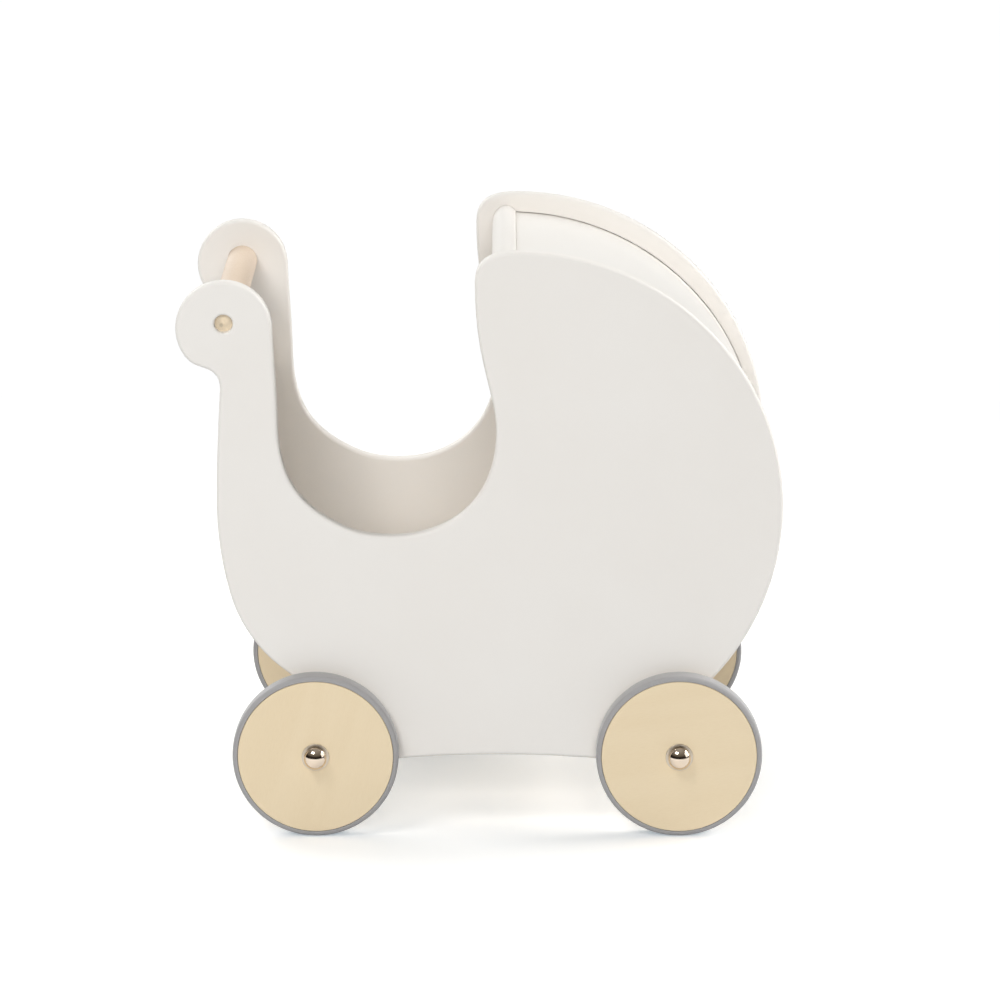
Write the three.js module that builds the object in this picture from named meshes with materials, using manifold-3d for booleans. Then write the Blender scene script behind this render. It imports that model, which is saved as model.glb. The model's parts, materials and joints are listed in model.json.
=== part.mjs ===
// Doll's pram: two painted side boards cut to one outline, a cot of bent sheets between them,
// a natural wood handle bar, and four ply wheels with rubber tyres on two fixed steel axles.
//
// Millimetres, +Z up. The origin is on the ground, under the middle of the pram.
// +X is the hood end, -X the handle end, +Y the left side. Outlines lie in the XZ plane.
import * as THREE from "three";
import { mergeVertices } from "three/addons/utils/BufferGeometryUtils.js";
import Module from "manifold-3d";

const wasm = await Module();
wasm.setup();

// ---- Driving dimensions ----

const GAP = 0.3; // air between two pieces that touch
const CHORD = 0.08; // how far a facet may stray from a round outline

const bodyWidth = 288; // over the two side boards
const boardThickness = 12;
const innerHalf = bodyWidth / 2 - boardThickness;
const middleOfBoard = (bodyWidth - boardThickness) / 2;
const sheetThickness = 4;

// Side board: circles {x, z, r} that its edge follows, and the places where it turns.
const hull = { x: 34, z: 264, r: 206 }; // hood back and front of the cot
const crownTurn = 50; // degrees: the hood's front becomes its flatter crown here
const hoodTop = insideTangent(hull, crownTurn, 212);
const hullRear = { x: 70.6, z: 268, r: 280 }; // upper part of the cot's handle end
const bilgeTurn = 195; // degrees: the handle end becomes its rounder lower part here
const bilgeRear = insideTangent(hullRear, bilgeTurn, 118);
const head = { x: -202, z: 410, r: 38 }; // round head that holds the handle bar
const mouthX = -4.5; // foremost point of the hood's mouth
const mouthZ = 446;
const waist = { x: 12.3, z: 326 }; // where the mouth runs into the opening
const openingLow = { x: -70, z: 242.2 };
const cornerLow = { x: -116, z: 253.4 };
const cornerLeft = { x: -160.5, z: 332 };
const headTurn = 215; // degrees: the edge leaves the head here
const chin = { x: -214.5, z: 377.2 };
const nape = { x: -205.5, z: 362 };
const lobeRadius = 16; // round foot about each axle
const hollowRadius = { front: 30, rear: 40 }; // hollow corners over the feet
const archTop = 61.3; // crown of the shallow arch between the feet

// Handle bar
const handle = { x: -202, z: 414, r: 12.5 };
const tenonRadius = 7.5;
const tenonLength = 5; // shorter than the board, so its end lies deep in the hole
const tenonChamfer = 0.6;
const centreMark = { r: 2, depth: 1.5 };

// Cot
const floorBottom = 92;
const floorThickness = 12;
const sheetSideAir = 0.8; // open joint between a bent sheet and the board beside it
const roofCrown = { x: 24.2, z: 243.5, r: 211.5 }; // upper face of the hood sheet
const roofTurn = 35; // degrees: the sheet bends a little more below this
const roofFront = insideTangent(roofCrown, roofTurn, 185);
const endInset = 10; // handle end sheet behind the edge of the side board
const slopeAngle = 45; // both sheets reach the floor at this angle

// Rails
const hoodRail = {
  front: 9, crown: 20, shoulder: 28.5, back: 41, top: 461, bottom: 427, // along X, then up Z
  noseHeight: 16, backRadius: 11, chamfer: 2,
};
const endRail = { front: -177, top: 356, bottom: 322, lip: 10, noseHeight: 8 };

// Blind dowels
const dowelRadius = 4;
const dowelLength = 30;
const dowelDepthInBoard = 9.5;
const dowelPlaces = {
  base: [[-70, 98], [15, 98], [100, 98]],
  hood_rail: [[18.5, 441], [33, 438]],
  end_rail: [[-186, 331], [-186, 346]],
};

// Wheels and axles
const wheelbase = 290.5;
const rearAxleX = -132;
const frontAxleX = rearAxleX + wheelbase;
const tyreRadius = 66.5;
const discRadius = 62;
const wheelWidth = 18;
const tyreShoulder = 1.5;
const axleZ = tyreRadius;
const axleRadius = 4;
const groove = { depth: 1.8, from: 5.7, to: 12.3 }; // round the rim of the disc, for the tyre's rib
const bush = { r: 6, flangeRadius: 11, flange: 2, setback: 0.5 }; // sleeve ends inside the disc
const spacer = { r: 10, thick: 1.5 };
const outerWasher = { r: 11, thick: 1 };
const cap = { r: 9, rim: 3.6, height: 9.6, bore: 4.6 };

const ROUND_WHEEL = 32; // facets round a wheel
const ROUND_SMALL = 16; // facets round washers, bushes, caps and axles
const ROUND_BAR = 48;
const ROUND_DOWEL = 12;
const OVERRUN = 2; // how much longer a through drill is than the board

// ---- Materials ----

function finish(color, roughness, metalness) {
  return new THREE.MeshStandardMaterial({ color, roughness, metalness });
}

const paint = () => finish(0xebe7e1, 0.55, 0);
const sheetPaint = () => finish(0xf3f1ec, 0.5, 0);
const birch = () => finish(0xe4d4b4, 0.6, 0);
const beech = () => finish(0xe8d2b8, 0.55, 0);
const rubber = () => finish(0xacacb0, 0.75, 0);
const steel = () => finish(0xb9bcc0, 0.35, 1);
const chrome = () => finish(0xdedede, 0.08, 1);
const nylon = () => finish(0xf2f0ea, 0.5, 0);

// ---- Outline helpers ----

function rad(degrees) {
  return (degrees * Math.PI) / 180;
}

function deg(radians) {
  return (radians * 180) / Math.PI;
}

function pointOn(circle, degrees) {
  return { x: circle.x + circle.r * Math.cos(rad(degrees)), z: circle.z + circle.r * Math.sin(rad(degrees)) };
}

// The circle of radius r that runs smoothly on from `circle` at the given angle.
function insideTangent(circle, degrees, r) {
  const shift = circle.r - r;
  return { x: circle.x + shift * Math.cos(rad(degrees)), z: circle.z + shift * Math.sin(rad(degrees)), r };
}

// Degrees from 0 to 360.
function bearing(from, to) {
  return (deg(Math.atan2(to.z - from.z, to.x - from.x)) + 360) % 360;
}

// Where a vertical at x meets the upper half of a circle, in degrees.
function bearingAbove(circle, x) {
  return deg(Math.acos((x - circle.x) / circle.r));
}

// The hollow corner of radius r that touches round corners a and b from outside.
// side is 1 to the left of the line from a to b, -1 to the right.
function hollowBetween(a, b, r, side) {
  const reachA = a.r + r;
  const reachB = b.r + r;
  const span = Math.hypot(b.x - a.x, b.z - a.z);
  const along = (reachA ** 2 - reachB ** 2 + span ** 2) / (2 * span);
  const aside = side * Math.sqrt(reachA ** 2 - along ** 2);
  const ux = (b.x - a.x) / span;
  const uz = (b.z - a.z) / span;
  return { x: a.x + along * ux - aside * uz, z: a.z + along * uz + aside * ux, r };
}

// Points along a circle from one angle to another, turning left if the second is larger.
function arc(circle, from, to) {
  const facet = 2 * Math.acos(1 - CHORD / circle.r);
  const count = Math.max(2, Math.ceil(Math.abs(rad(to - from)) / facet));
  const curve = new THREE.EllipseCurve(
    circle.x, circle.z, circle.r, circle.rz ?? circle.r, rad(from), rad(to), to < from,
  );
  return curve.getPoints(count);
}

function sweep(start, startPull, endPull, end, count = 10) {
  const corners = [start, startPull, endPull, end].map(({ x, z }) => new THREE.Vector2(x, z));
  return new THREE.CubicBezierCurve(...corners).getPoints(count);
}

// Joins stretches into one outline, dropping a point that repeats the one before it.
function join(...stretches) {
  const points = [];
  for (const point of stretches.flat()) {
    const last = points[points.length - 1];
    if (!last || last.distanceTo(point) > 0.02) points.push(point);
  }
  if (points[0].distanceTo(points[points.length - 1]) < 0.02) points.pop();
  return points;
}

const at = (x, z) => new THREE.Vector2(x, z);

// ---- Solids ----

function solidOf(geometry) {
  const bare = geometry.clone();
  bare.deleteAttribute("normal");
  bare.deleteAttribute("uv");
  const closed = mergeVertices(bare, 1e-3);
  const vertProperties = new Float32Array(closed.attributes.position.array);
  const triVerts = new Uint32Array(closed.index.array);
  return new wasm.Manifold(new wasm.Mesh({ numProp: 3, vertProperties, triVerts }));
}

function cut(geometry, tools) {
  let solid = solidOf(geometry);
  for (const tool of tools) solid = solid.subtract(solidOf(tool));
  const { vertProperties, triVerts } = solid.getMesh();
  const result = new THREE.BufferGeometry();
  result.setAttribute("position", new THREE.BufferAttribute(vertProperties, 3));
  result.setIndex(new THREE.BufferAttribute(triVerts, 1));
  result.computeVertexNormals();
  return result;
}

// A board with the given XZ outline, centred on Y = 0.
function board(outline, width) {
  const geometry = new THREE.ExtrudeGeometry(new THREE.Shape(outline), { depth: width, bevelEnabled: false });
  return geometry.rotateX(Math.PI / 2).translate(0, width / 2, 0);
}

// A drill along Y, centred on [x, y, z].
function drill(radius, length, [x, y, z], facets) {
  return new THREE.CylinderGeometry(radius, radius, length, facets).translate(x, y, z);
}

// A turned piece about the Y axis, from [radius, height] pairs that go up its outside.
function turned(profile, facets) {
  return new THREE.LatheGeometry(profile.map(([r, y]) => new THREE.Vector2(r, y)), facets);
}

function piece(name, geometry, material) {
  const mesh = new THREE.Mesh(geometry, material);
  mesh.name = name;
  return mesh;
}

// ---- Side boards ----

function archCircle(front, rear) {
  const half = (front.x - rear.x) / 2;
  const drop = axleZ - archTop;
  const r = (half ** 2 + drop ** 2 - lobeRadius ** 2) / (2 * (lobeRadius - drop));
  return { x: (front.x + rear.x) / 2, z: archTop - r, r };
}

function sideOutline() {
  const frontFoot = { x: frontAxleX, z: axleZ, r: lobeRadius };
  const rearFoot = { x: rearAxleX, z: axleZ, r: lobeRadius };
  const arch = archCircle(frontFoot, rearFoot);
  const frontHollow = hollowBetween(hull, frontFoot, hollowRadius.front, 1);
  const rearHollow = hollowBetween(bilgeRear, rearFoot, hollowRadius.rear, -1);
  const crown = pointOn(hoodTop, 90);
  const headLow = pointOn(head, headTurn);
  return join(
    // Under the pram, from the rear foot to the front one
    arc(rearFoot, bearing(rearFoot, rearHollow), bearing(rearFoot, arch)),
    arc(arch, bearing(arch, rearFoot), bearing(arch, frontFoot)),
    arc(frontFoot, bearing(frontFoot, arch) - 360, bearing(frontFoot, frontHollow)),
    arc(frontHollow, bearing(frontHollow, frontFoot), bearing(frontHollow, hull)),
    // Up the front, over the hood and down its mouth
    arc(hull, bearing(hull, frontHollow) - 360, crownTurn),
    arc(hoodTop, crownTurn, 90),
    sweep(crown, { x: 6, z: crown.z }, { x: mouthX, z: 464 }, { x: mouthX, z: mouthZ }),
    sweep({ x: mouthX, z: mouthZ }, { x: mouthX, z: 383 }, { x: waist.x, z: 358 }, waist, 14),
    // The opening
    sweep(waist, { x: waist.x, z: 266.8 }, { x: -29, z: openingLow.z }, openingLow, 20),
    sweep(openingLow, { x: -90, z: openingLow.z }, { x: -100.2, z: 244.9 }, cornerLow, 6),
    sweep(cornerLow, { x: -142.4, z: 267.7 }, { x: -159.6, z: 287 }, cornerLeft, 12),
    sweep(cornerLeft, { x: -160.9, z: 365 }, { x: -164, z: 394 }, pointOn(head, 0), 8),
    // Round the head and down the handle end
    arc(head, 0, headTurn),
    sweep(headLow, { x: -227.4, z: 380.1 }, { x: -220.4, z: 380 }, chin, 5),
    sweep(chin, { x: -208.5, z: 374.3 }, { x: -205.5, z: 370 }, nape, 6),
    sweep(nape, { x: -207, z: 335 }, { x: -209.4, z: 300 }, pointOn(hullRear, 180), 6),
    arc(hullRear, 180, bilgeTurn),
    arc(bilgeRear, bilgeTurn, bearing(bilgeRear, rearHollow)),
    arc(rearHollow, bearing(rearHollow, bilgeRear), bearing(rearHollow, rearFoot) - 360),
  );
}

function sideBoard(outline, side) {
  const through = boardThickness + OVERRUN;
  const inner = (-side * boardThickness) / 2;
  const blind = 2 * (dowelDepthInBoard + GAP);
  const tools = [
    drill(tenonRadius + GAP, through, [handle.x, 0, handle.z], ROUND_BAR),
    drill(axleRadius + GAP, through, [frontAxleX, 0, axleZ], ROUND_SMALL),
    drill(axleRadius + GAP, through, [rearAxleX, 0, axleZ], ROUND_SMALL),
  ];
  for (const [x, z] of Object.values(dowelPlaces).flat()) {
    tools.push(drill(dowelRadius + GAP, blind, [x, inner, z], ROUND_DOWEL));
  }
  return cut(board(outline, boardThickness), tools);
}

// ---- Bent sheets, rails and floor ----

const inward = (circle) => ({ ...circle, r: circle.r - sheetThickness });

// Where a sheet's face that leaves `circle` at slopeAngle reaches the underside of the floor.
function footOf(circle, degrees) {
  const start = pointOn(circle, degrees);
  const drop = start.z - floorBottom;
  const run = drop / Math.tan(rad(slopeAngle));
  return at(start.x - Math.sign(start.x) * run, floorBottom);
}

function hoodSheetOutline() {
  const start = bearingAbove(inward(roofCrown), hoodRail.shoulder + GAP);
  const end = -slopeAngle;
  const face = (crown, front) => [
    ...arc(crown, start, roofTurn),
    ...arc(front, roofTurn, end),
    footOf(front, end),
  ];
  const outer = face(roofCrown, roofFront);
  const inner = face(inward(roofCrown), inward(roofFront));
  return join(outer, inner.reverse());
}

const endUpper = { ...hullRear, r: hullRear.r - endInset };
const endLower = { ...bilgeRear, r: bilgeRear.r - endInset };
const endSheetTop = endRail.top - endRail.lip;

function endSheetOutline() {
  const end = 180 + slopeAngle;
  const face = (upper, lower) => [
    at(upper.x - upper.r, endSheetTop),
    ...arc(upper, 180, bilgeTurn),
    ...arc(lower, bilgeTurn, end),
    footOf(lower, end),
  ];
  const outer = face(endUpper, endLower);
  const inner = face(inward(endUpper), inward(endLower));
  return join(outer, inner.reverse());
}

// The floor's two ends are planed to lie against the sloping sheets.
function floorOutline() {
  const slack = GAP / Math.sin(rad(slopeAngle));
  const lean = floorThickness / Math.tan(rad(slopeAngle));
  const front = footOf(inward(roofFront), -slopeAngle).x - slack;
  const rear = footOf(inward(endLower), 180 + slopeAngle).x + slack;
  return [
    at(rear, floorBottom),
    at(front, floorBottom),
    at(front + lean, floorBottom + floorThickness),
    at(rear - lean, floorBottom + floorThickness),
  ];
}

// Bullnosed front, a shoulder that the sheet butts against, and a tongue under the sheet.
function hoodRailOutline() {
  const { front, crown, shoulder, back, top, bottom, noseHeight, backRadius, chamfer } = hoodRail;
  const nose = { x: crown, z: top - noseHeight, r: crown - front, rz: noseHeight };
  const behind = { x: crown, z: top - backRadius, r: backRadius };
  const under = { ...roofCrown, r: roofCrown.r - sheetThickness - GAP };
  return join(
    [at(front + chamfer, bottom), at(back, bottom)],
    arc(under, bearingAbove(under, back), bearingAbove(under, shoulder)),
    arc(behind, bearingAbove(behind, shoulder), 90),
    arc(nose, 90, 180),
    [at(front, bottom + chamfer)],
  );
}

// Bullnosed top whose lip covers the upper edge of the sheet.
function endRailOutline() {
  const { front, top, bottom, lip, noseHeight } = endRail;
  const outside = endUpper.x - endUpper.r;
  const middle = (front + outside) / 2;
  const nose = { x: middle, z: top - noseHeight, r: front - middle, rz: noseHeight };
  const lapped = outside + sheetThickness + GAP;
  return join(
    [at(lapped, bottom), at(front, bottom)],
    arc(nose, 0, 180),
    [at(outside, top - lip + GAP), at(lapped, top - lip + GAP)],
  );
}

// Dowel holes in both ends of a board that lies between the side boards.
function doweled(geometry, width, places) {
  const depthInEnd = dowelLength - dowelDepthInBoard + GAP;
  const tools = [];
  for (const side of [-1, 1]) {
    for (const [x, z] of places) {
      tools.push(drill(dowelRadius + GAP, 2 * depthInEnd, [x, (side * width) / 2, z], ROUND_DOWEL));
    }
  }
  return cut(geometry, tools);
}

function dowel(name, [x, z], side) {
  const mesh = piece(name, drill(dowelRadius, dowelLength, [0, 0, 0], ROUND_DOWEL), birch());
  const innerEnd = innerHalf + dowelDepthInBoard - dowelLength;
  mesh.position.set(x, side * (innerEnd + dowelLength / 2), z);
  return mesh;
}

// ---- Handle bar ----

function handleBar() {
  const shoulder = innerHalf - GAP;
  const tip = innerHalf + tenonLength;
  const half = [
    [0, tip - centreMark.depth],
    [centreMark.r, tip],
    [tenonRadius - tenonChamfer, tip],
    [tenonRadius, tip - tenonChamfer],
    [tenonRadius, shoulder],
    [handle.r, shoulder],
  ];
  const otherHalf = half.map(([r, y]) => [r, -y]);
  return turned([...otherHalf, ...half.reverse()], ROUND_BAR);
}

// ---- Wheels ----

// Everything on one end of an axle, built outwards along +Y from the outer face of the side board.
function wheelStation(name) {
  const station = new THREE.Group();
  let out = GAP;
  const add = (part, geometry, material, y = out) => {
    const mesh = piece(`${part}_${name}`, geometry, material);
    mesh.position.y = y;
    station.add(mesh);
  };
  const ring = (inner, outer, thick) => turned(
    [[inner, 0], [outer, 0], [outer, thick], [inner, thick], [inner, 0]], ROUND_SMALL,
  );
  const bore = axleRadius + GAP;

  add("spacer_washer", ring(bore, spacer.r, spacer.thick), steel());
  out += spacer.thick + GAP;

  const sleeveEnd = bush.flange + GAP + wheelWidth - bush.setback;
  add("hub_bush", turned([
    [bore, 0], [bush.flangeRadius, 0], [bush.flangeRadius, bush.flange], [bush.r, bush.flange],
    [bush.r, sleeveEnd], [bore, sleeveEnd], [bore, 0],
  ], ROUND_SMALL), nylon());
  out += bush.flange + GAP;

  const hubHole = bush.r + GAP;
  const grooveFloor = discRadius - groove.depth;
  add("wheel_disc", turned([
    [hubHole, 0], [discRadius, 0], [discRadius, groove.from], [grooveFloor, groove.from],
    [grooveFloor, groove.to], [discRadius, groove.to], [discRadius, wheelWidth],
    [hubHole, wheelWidth], [hubHole, 0],
  ], ROUND_WHEEL), birch());

  const seat = discRadius + GAP;
  const ribTop = grooveFloor + GAP;
  const tread = tyreRadius - tyreShoulder;
  add("tyre", turned([
    [seat, 0], [tread, 0], [tyreRadius, tyreShoulder], [tyreRadius, wheelWidth - tyreShoulder],
    [tread, wheelWidth], [seat, wheelWidth], [seat, groove.to - GAP],
    [ribTop, groove.to - GAP], [ribTop, groove.from + GAP], [seat, groove.from + GAP], [seat, 0],
  ], ROUND_WHEEL), rubber());
  out += wheelWidth + GAP;

  add("outer_washer", ring(bore, outerWasher.r, outerWasher.thick), steel());
  out += outerWasher.thick + GAP;

  const dome = [30, 60].map((degrees) => [
    cap.r * Math.cos(rad(degrees)), cap.rim + (cap.height - cap.rim) * Math.sin(rad(degrees)),
  ]);
  add("axle_cap", turned([
    [0, cap.bore], [bore, cap.bore], [bore, 0], [cap.r, 0], [cap.r, cap.rim], ...dome, [0, cap.height],
  ], ROUND_SMALL), chrome());
  station.userData.axleEnd = bodyWidth / 2 + out + cap.bore - GAP;
  return station;
}

// ---- Assembly ----

const pram = new THREE.Group();

const outline = sideOutline();
for (const [name, side] of [["left", 1], ["right", -1]]) {
  const mesh = piece(`side_panel_${name}`, sideBoard(outline, side), paint());
  mesh.position.y = side * middleOfBoard;
  pram.add(mesh);
}

const fitted = 2 * (innerHalf - GAP); // width of a board held tight between the side boards
const sheetWidth = 2 * (innerHalf - sheetSideAir);
pram.add(
  piece("hood_panel", board(hoodSheetOutline(), sheetWidth), sheetPaint()),
  piece("handle_end_panel", board(endSheetOutline(), sheetWidth), sheetPaint()),
  piece("base_panel", doweled(board(floorOutline(), fitted), fitted, dowelPlaces.base), birch()),
  piece("hood_front_rail", doweled(board(hoodRailOutline(), fitted), fitted, dowelPlaces.hood_rail), paint()),
  piece("handle_end_rail", doweled(board(endRailOutline(), fitted), fitted, dowelPlaces.end_rail), paint()),
);

const bar = piece("handle_bar", handleBar(), beech());
bar.position.set(handle.x, 0, handle.z);
pram.add(bar);

for (const [joint, places] of Object.entries(dowelPlaces)) {
  places.forEach((place, index) => {
    pram.add(dowel(`dowel_${joint}_left_${index + 1}`, place, 1));
    pram.add(dowel(`dowel_${joint}_right_${index + 1}`, place, -1));
  });
}

for (const [end, x] of [["front", frontAxleX], ["rear", rearAxleX]]) {
  let axleEnd = 0;
  for (const [hand, side] of [["left", 1], ["right", -1]]) {
    const station = wheelStation(`${end}_${hand}`);
    station.position.set(x, (side * bodyWidth) / 2, axleZ);
    station.rotation.z = side > 0 ? 0 : Math.PI;
    axleEnd = station.userData.axleEnd;
    pram.add(station);
  }
  const axle = piece(`axle_${end}`, drill(axleRadius, 2 * axleEnd, [0, 0, 0], ROUND_SMALL), steel());
  axle.position.set(x, 0, axleZ);
  pram.add(axle);
}

export default pram;
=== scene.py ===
"""Doll's pram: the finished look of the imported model, piece by piece, on a pale studio floor.

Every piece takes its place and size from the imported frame, in metres: +Z is up, +X is the hood
end, -X the handle end and +Y the left side. Roundings, small details and colours are properties
in the sidebar's panel.
"""

import json
import math
import re

import bmesh
import bpy
from mathutils import Matrix, Vector


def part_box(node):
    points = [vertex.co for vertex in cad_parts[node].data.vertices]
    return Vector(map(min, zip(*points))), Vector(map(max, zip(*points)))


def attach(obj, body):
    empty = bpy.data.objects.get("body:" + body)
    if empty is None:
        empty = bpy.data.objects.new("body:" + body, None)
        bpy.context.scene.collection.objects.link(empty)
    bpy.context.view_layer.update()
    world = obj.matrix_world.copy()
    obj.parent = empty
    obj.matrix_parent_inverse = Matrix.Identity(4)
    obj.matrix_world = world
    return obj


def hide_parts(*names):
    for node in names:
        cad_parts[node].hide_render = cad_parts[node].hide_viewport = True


bl_info = {
    "name": "Doll's Pram",
    "version": (1, 0, 0),
    "blender": (4, 5, 0),
    "location": "View3D > Sidebar > Doll's Pram",
    "description": "Models and finishes a wooden doll's pram around its packed frame",
    "category": "Object",
}

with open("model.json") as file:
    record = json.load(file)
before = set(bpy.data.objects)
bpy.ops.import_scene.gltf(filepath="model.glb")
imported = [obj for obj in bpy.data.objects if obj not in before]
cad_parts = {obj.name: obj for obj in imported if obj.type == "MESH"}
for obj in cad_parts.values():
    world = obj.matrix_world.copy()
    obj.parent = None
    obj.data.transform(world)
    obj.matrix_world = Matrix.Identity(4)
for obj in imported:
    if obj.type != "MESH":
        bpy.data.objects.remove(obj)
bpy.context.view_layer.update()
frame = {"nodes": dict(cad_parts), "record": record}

MM = 0.001
SIDES = ("left", "right")
WHEELS = ("front_left", "front_right", "rear_left", "rear_right")
ROUND = 128  # facets round a wheel
ROUND_SMALL = 64  # facets round washers, caps, axles and the handle bar
TURN = 2 * math.pi
SAME = 0.01 * MM  # points closer than this are at one place
MERGE = 0.002 * MM  # points closer than this are merged
ROD_HOLE = 4.3 * MM  # radius of the holes for the 8 mm axles and dowels


# ---- Where things are ----


def middle(node):
    """The centre of a CAD node's box."""
    low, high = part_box(node)
    return (low + high) / 2


def span(node):
    """The size of a CAD node's box."""
    low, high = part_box(node)
    return high - low


def inner_face(node):
    """How far from the middle of the pram a node starts."""
    low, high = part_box(node)
    return min(abs(low.y), abs(high.y))


# ---- Properties ----


def length(name, description, default, largest):
    return bpy.props.FloatProperty(
        name=name,
        description=description,
        default=default,
        min=0.00005,
        max=largest,
        precision=5,
        unit="LENGTH",
        subtype="DISTANCE",
    )


def colour(name, description, default):
    return bpy.props.FloatVectorProperty(
        name=name,
        description=description,
        default=default,
        min=0,
        max=1,
        size=3,
        subtype="COLOR",
    )


class PramSizes(bpy.types.PropertyGroup):
    """Roundings and small sizes."""

    board_edge: length("Board edge", "Radius along the edges of the side boards", 0.003, 0.005)
    hole_edge: length("Hole edge", "Radius round the hole at each end of the bar", 0.0022, 0.003)
    rail_edge: length("Rail edge", "Radius at the ends of the two rails", 0.0008, 0.002)
    sheet_edge: length("Sheet edge", "Radius along the edges of the bent sheets", 0.0004, 0.0018)
    groove_depth: length("Groove depth", "Depth of the grooves for the bent sheets", 0.004, 0.006)
    groove_play: length("Groove play", "Gap between the hood sheet and its groove", 0.0009, 0.0015)
    floor_edge: length("Floor edge", "Radius along the edges of the cot floor", 0.0008, 0.003)
    bar_edge: length("Bar edge", "Radius at the shoulders of the handle bar", 0.0007, 0.002)
    disc_edge: length("Disc edge", "Radius along the rim of a wheel disc", 0.0005, 0.0015)
    tyre_edge: length("Tyre edge", "Radius along the shoulders of a tyre", 0.0028, 0.004)
    metal_edge: length("Metal edge", "Radius along the edges of washers and axles", 0.0003, 0.0005)


class PramColours(bpy.types.PropertyGroup):
    """Colours of the finishes."""

    board_paint: colour("Board paint", "Satin paint on the boards and rails", (0.87, 0.825, 0.77))
    sheet_paint: colour("Sheet paint", "Satin paint on the bent sheets", (0.85, 0.81, 0.758))
    beech: colour("Beech", "Lacquered wood of the handle bar", (0.80, 0.64, 0.50))
    beech_grain: colour("Beech grain", "Darker grain of the handle bar", (0.70, 0.54, 0.38))
    bar_end: colour("Bar end", "End grain of the handle bar", (0.76, 0.64, 0.475))
    birch: colour("Birch", "Lacquered face of the wheel discs", (0.86, 0.70, 0.475))
    birch_grain: colour("Birch grain", "Darker grain of the wheel discs", (0.74, 0.56, 0.33))
    rubber: colour("Rubber", "Light grey rubber of the tyres", (0.375, 0.358, 0.352))
    chrome: colour("Chrome", "Polished axle caps", (0.73, 0.62, 0.51))
    zinc: colour("Zinc", "Plated washers and axles", (0.66, 0.585, 0.49))
    nylon: colour("Nylon", "Hub bushes", (0.82, 0.81, 0.77))


# ---- Finishes ----


class Value:
    """A number that varies over a surface. Arithmetic on it adds Math nodes."""

    def __init__(self, nodes, socket):
        self.nodes = nodes
        self.socket = socket

    def math(self, operation, *terms):
        settings = {"operation": operation}
        return self.nodes.add("ShaderNodeMath", settings, dict(enumerate(terms)))

    def __add__(self, other):
        return self.math("ADD", self, other)

    def __radd__(self, other):
        return self.math("ADD", other, self)

    def __sub__(self, other):
        return self.math("SUBTRACT", self, other)

    def __rsub__(self, other):
        return self.math("SUBTRACT", other, self)

    def __mul__(self, other):
        return self.math("MULTIPLY", self, other)

    def __rmul__(self, other):
        return self.math("MULTIPLY", other, self)


class Nodes:
    """A node tree, and the patterns that finishes are made of."""

    def __init__(self, tree):
        self.tree = tree

    def add(self, kind, settings=None, sockets=None, output=0):
        """Adds a node, sets it up, then gives its sockets their values or links."""
        node = self.tree.nodes.new(kind)
        for name, value in (settings or {}).items():
            if name == "stops":
                set_stops(node.color_ramp, value)
            else:
                setattr(node, name, value)
        for name, value in (sockets or {}).items():
            self.give(node.inputs[name], value)
        return Value(self, node.outputs[output])

    def give(self, socket, value):
        if isinstance(value, Value):
            self.tree.links.new(value.socket, socket)
        elif hasattr(value, "__len__") and len(value) == 3 and socket.type == "RGBA":
            socket.default_value = (*value, 1)
        else:
            socket.default_value = value

    def place(self, stretch=(1, 1, 1), turn=(0, 0, 0), source=None):
        """The point on the piece, in metres, stretched and turned for a pattern."""
        start = source or self.add("ShaderNodeTexCoord", output="Object")
        sockets = {"Vector": start, "Scale": stretch, "Rotation": turn}
        return self.add("ShaderNodeMapping", {}, sockets)

    def noise(self, place, size, detail=2.0, roughness=0.5, distortion=0.0):
        """Soft random variation from 0 to 1, about as coarse as size in metres."""
        sockets = {
            "Vector": place,
            "Scale": 1 / size,
            "Detail": detail,
            "Roughness": roughness,
            "Distortion": distortion,
        }
        return self.add("ShaderNodeTexNoise", {"noise_dimensions": "3D"}, sockets)

    def ramp(self, value, low, high):
        """0 up to low, 1 from high on, and smooth between."""
        settings = {"interpolation_type": "SMOOTHSTEP"}
        sockets = {"Value": value, "From Min": low, "From Max": high}
        return self.add("ShaderNodeMapRange", settings, sockets)

    def spot(self, place, reach):
        """1 at a place as seen from the side, and 0 from reach on."""
        sockets = {0: self.place(stretch=(1, 0, 1)), 1: (place.x, 0, place.z)}
        away = self.add("ShaderNodeVectorMath", {"operation": "DISTANCE"}, sockets, "Value")
        return 1 - self.ramp(away, 0.3 * reach, reach)

    def blend(self, share, first, second):
        """Mixes two colours."""
        sockets = {0: share, 6: first, 7: second}
        return self.add("ShaderNodeMix", {"data_type": "RGBA"}, sockets, output=2)

    def bump(self, height, depth, under=None):
        """Turns a height from 0 to 1 into relief of the given depth in metres."""
        sockets = {"Height": height, "Distance": depth, "Strength": 1.0}
        if under:
            sockets["Normal"] = under
        return self.add("ShaderNodeBump", {}, sockets)


class Finish(Nodes):
    """A material built round one Principled shader."""

    def __init__(self, name, **constants):
        self.material = bpy.data.materials.new(name)
        self.material.use_nodes = True
        super().__init__(self.material.node_tree)
        self.shader = self.tree.nodes["Principled BSDF"]
        for socket, value in constants.items():
            self.give(self.shader.inputs[socket.replace("_", " ")], value)

    def connect(self, **sockets):
        """Links values to the shader's sockets."""
        for name, value in sockets.items():
            self.give(self.shader.inputs[name.replace("_", " ")], value)
        return self.material


def set_stops(ramp, stops):
    """Gives a colour ramp its stops: position and colour."""
    while len(ramp.elements) > 1:
        ramp.elements.remove(ramp.elements[-1])
    for index, (position, value) in enumerate(stops):
        element = ramp.elements[0] if index == 0 else ramp.elements.new(position)
        element.position = position
        element.color = (*value, 1)


def scaled(rgb, factor):
    return tuple(min(1.0, channel * factor) for channel in rgb)


def warmer(rgb, amount):
    red, green, blue = rgb
    return (red, green * (1 - amount / 2), blue * (1 - amount))


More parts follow.
